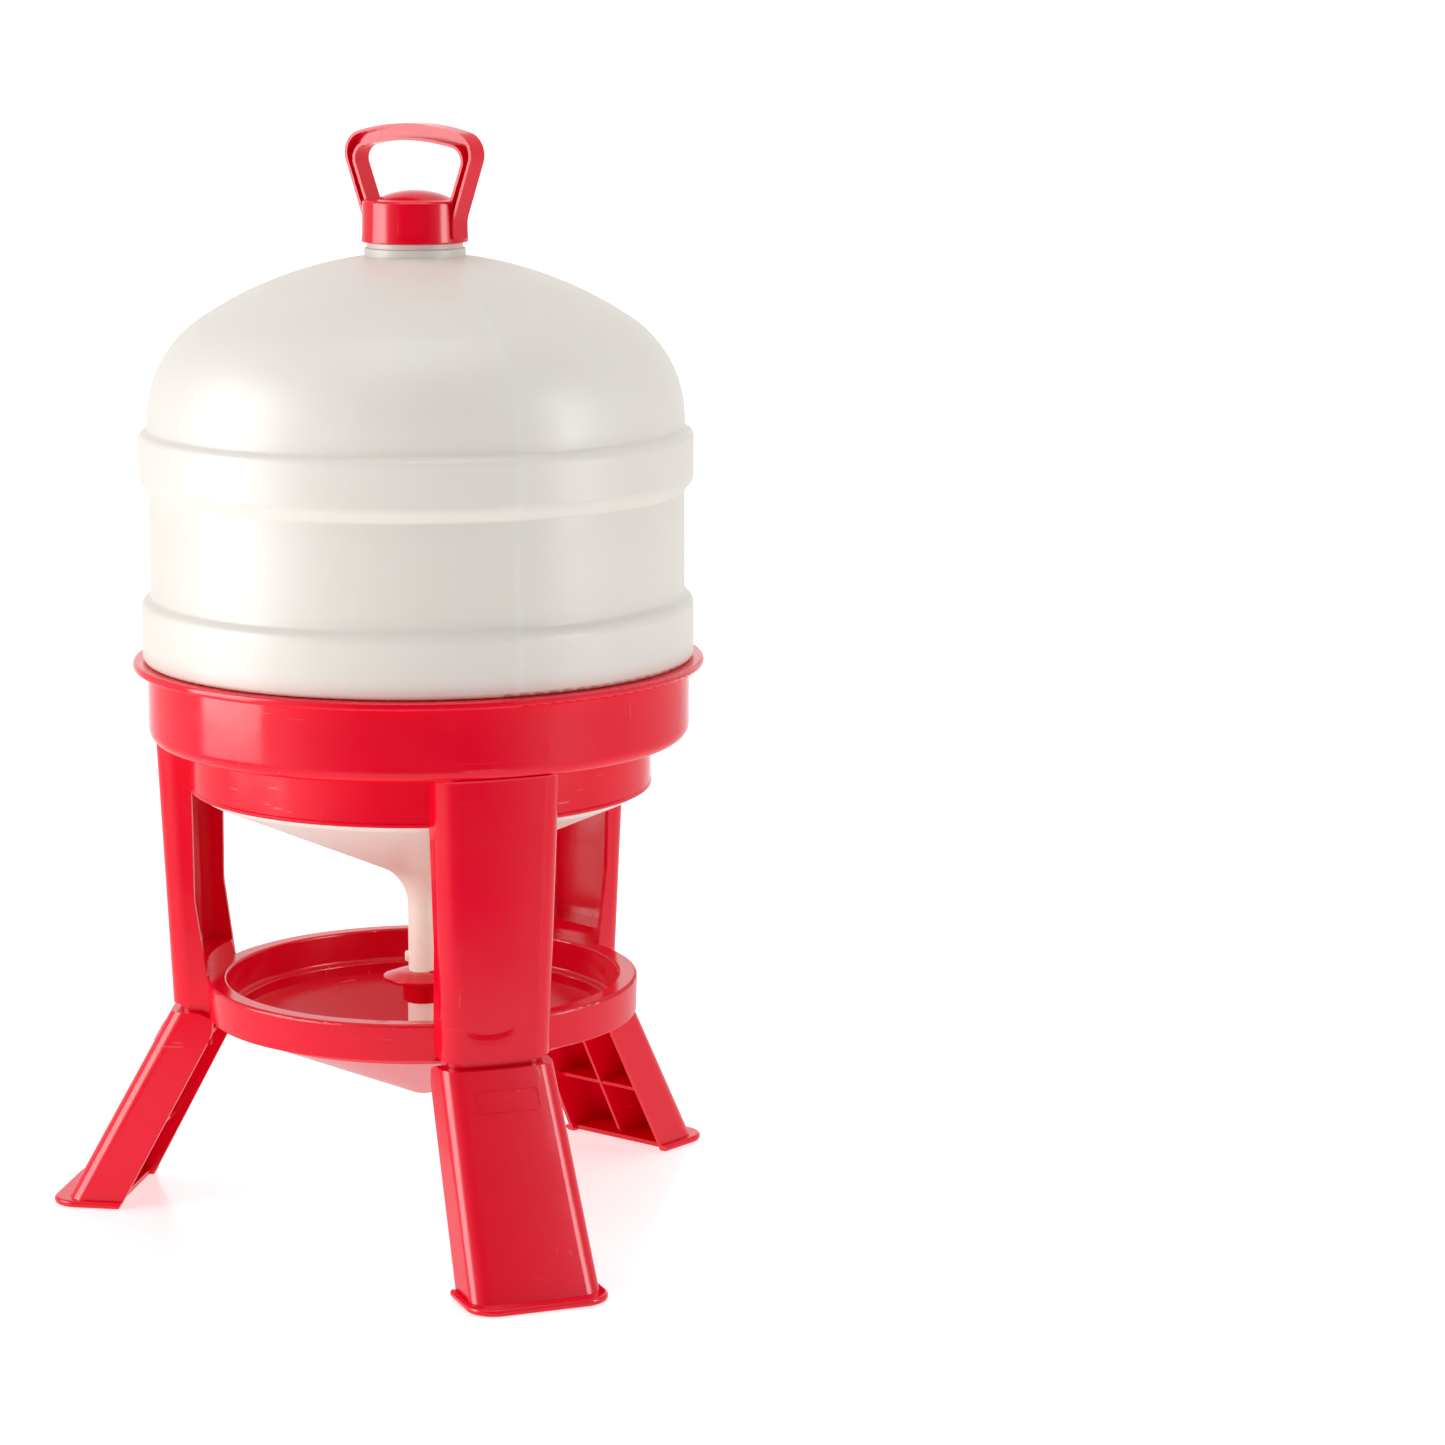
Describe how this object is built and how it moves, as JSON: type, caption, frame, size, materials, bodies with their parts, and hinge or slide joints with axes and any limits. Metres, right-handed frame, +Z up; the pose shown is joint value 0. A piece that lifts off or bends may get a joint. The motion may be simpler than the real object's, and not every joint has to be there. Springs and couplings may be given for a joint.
{
  "type": "poultry waterer fount",
  "caption": "Translucent bottle in a red ring stand with splayed feet, round drinking tray, rotary valve and screw cap with handle.",
  "frame": {"origin": "on the floor, at the centre of the footprint's bounding box", "axes": "+Z up along the bottle's axis, -Y towards the front foot, which stands between the two rear feet"},
  "size_m": [0.4684, 0.4402, 0.7289],
  "materials": {
    "red_plastic": "glossy moulded polypropylene with light scuffs",
    "clear_plastic": "translucent natural polyethylene, slightly waxy",
    "white_plastic": "plain moulded plastic",
    "seal_rubber": "smooth black rubber"
  },
  "bodies": {
    "stand": {"stand": "red_plastic"},
    "tank": {"tank": "clear_plastic", "valve_stem": "white_plastic", "stem_seal": "seal_rubber", "oring_upper": "seal_rubber", "oring_lower": "seal_rubber"},
    "collar": {"valve_collar": "red_plastic"},
    "seal": {"cap_seal": "seal_rubber"},
    "cap": {"screw_cap": "red_plastic"},
    "foot_front": {"foot_front": "red_plastic"},
    "foot_right": {"foot_right": "red_plastic"},
    "foot_left": {"foot_left": "red_plastic"}
  },
  "joints": [
    {"name": "tank_lift", "type": "slide", "parent": "stand", "child": "tank", "axis": [0, 0, 1], "range_m": [0, 0.3]},
    {"name": "valve_turn", "type": "hinge", "parent": "tank", "child": "collar", "pos_m": [0, 0.03135, 0], "axis": [0, 0, 1], "range_deg": [0, 90]},
    {"name": "cap_rise", "type": "slide", "parent": "tank", "child": "seal", "axis": [0, 0, 1], "range_m": [0, 0.0125]},
    {"name": "cap_turn", "type": "hinge", "parent": "seal", "child": "cap", "pos_m": [0, 0.03135, 0], "axis": [0, 0, 1], "range_deg": [0, 720]},
    {"name": "foot_front_pull", "type": "slide", "parent": "stand", "child": "foot_front", "axis": [0, 0, -1], "range_m": [0, 0.03]},
    {"name": "foot_right_pull", "type": "slide", "parent": "stand", "child": "foot_right", "axis": [0, 0, -1], "range_m": [0, 0.03]},
    {"name": "foot_left_pull", "type": "slide", "parent": "stand", "child": "foot_left", "axis": [0, 0, -1], "range_m": [0, 0.03]}
  ],
  "couplings": [
    {"joint": "cap_rise", "follows": "cap_turn", "m_per_rad": 0.00095493}
  ]
}
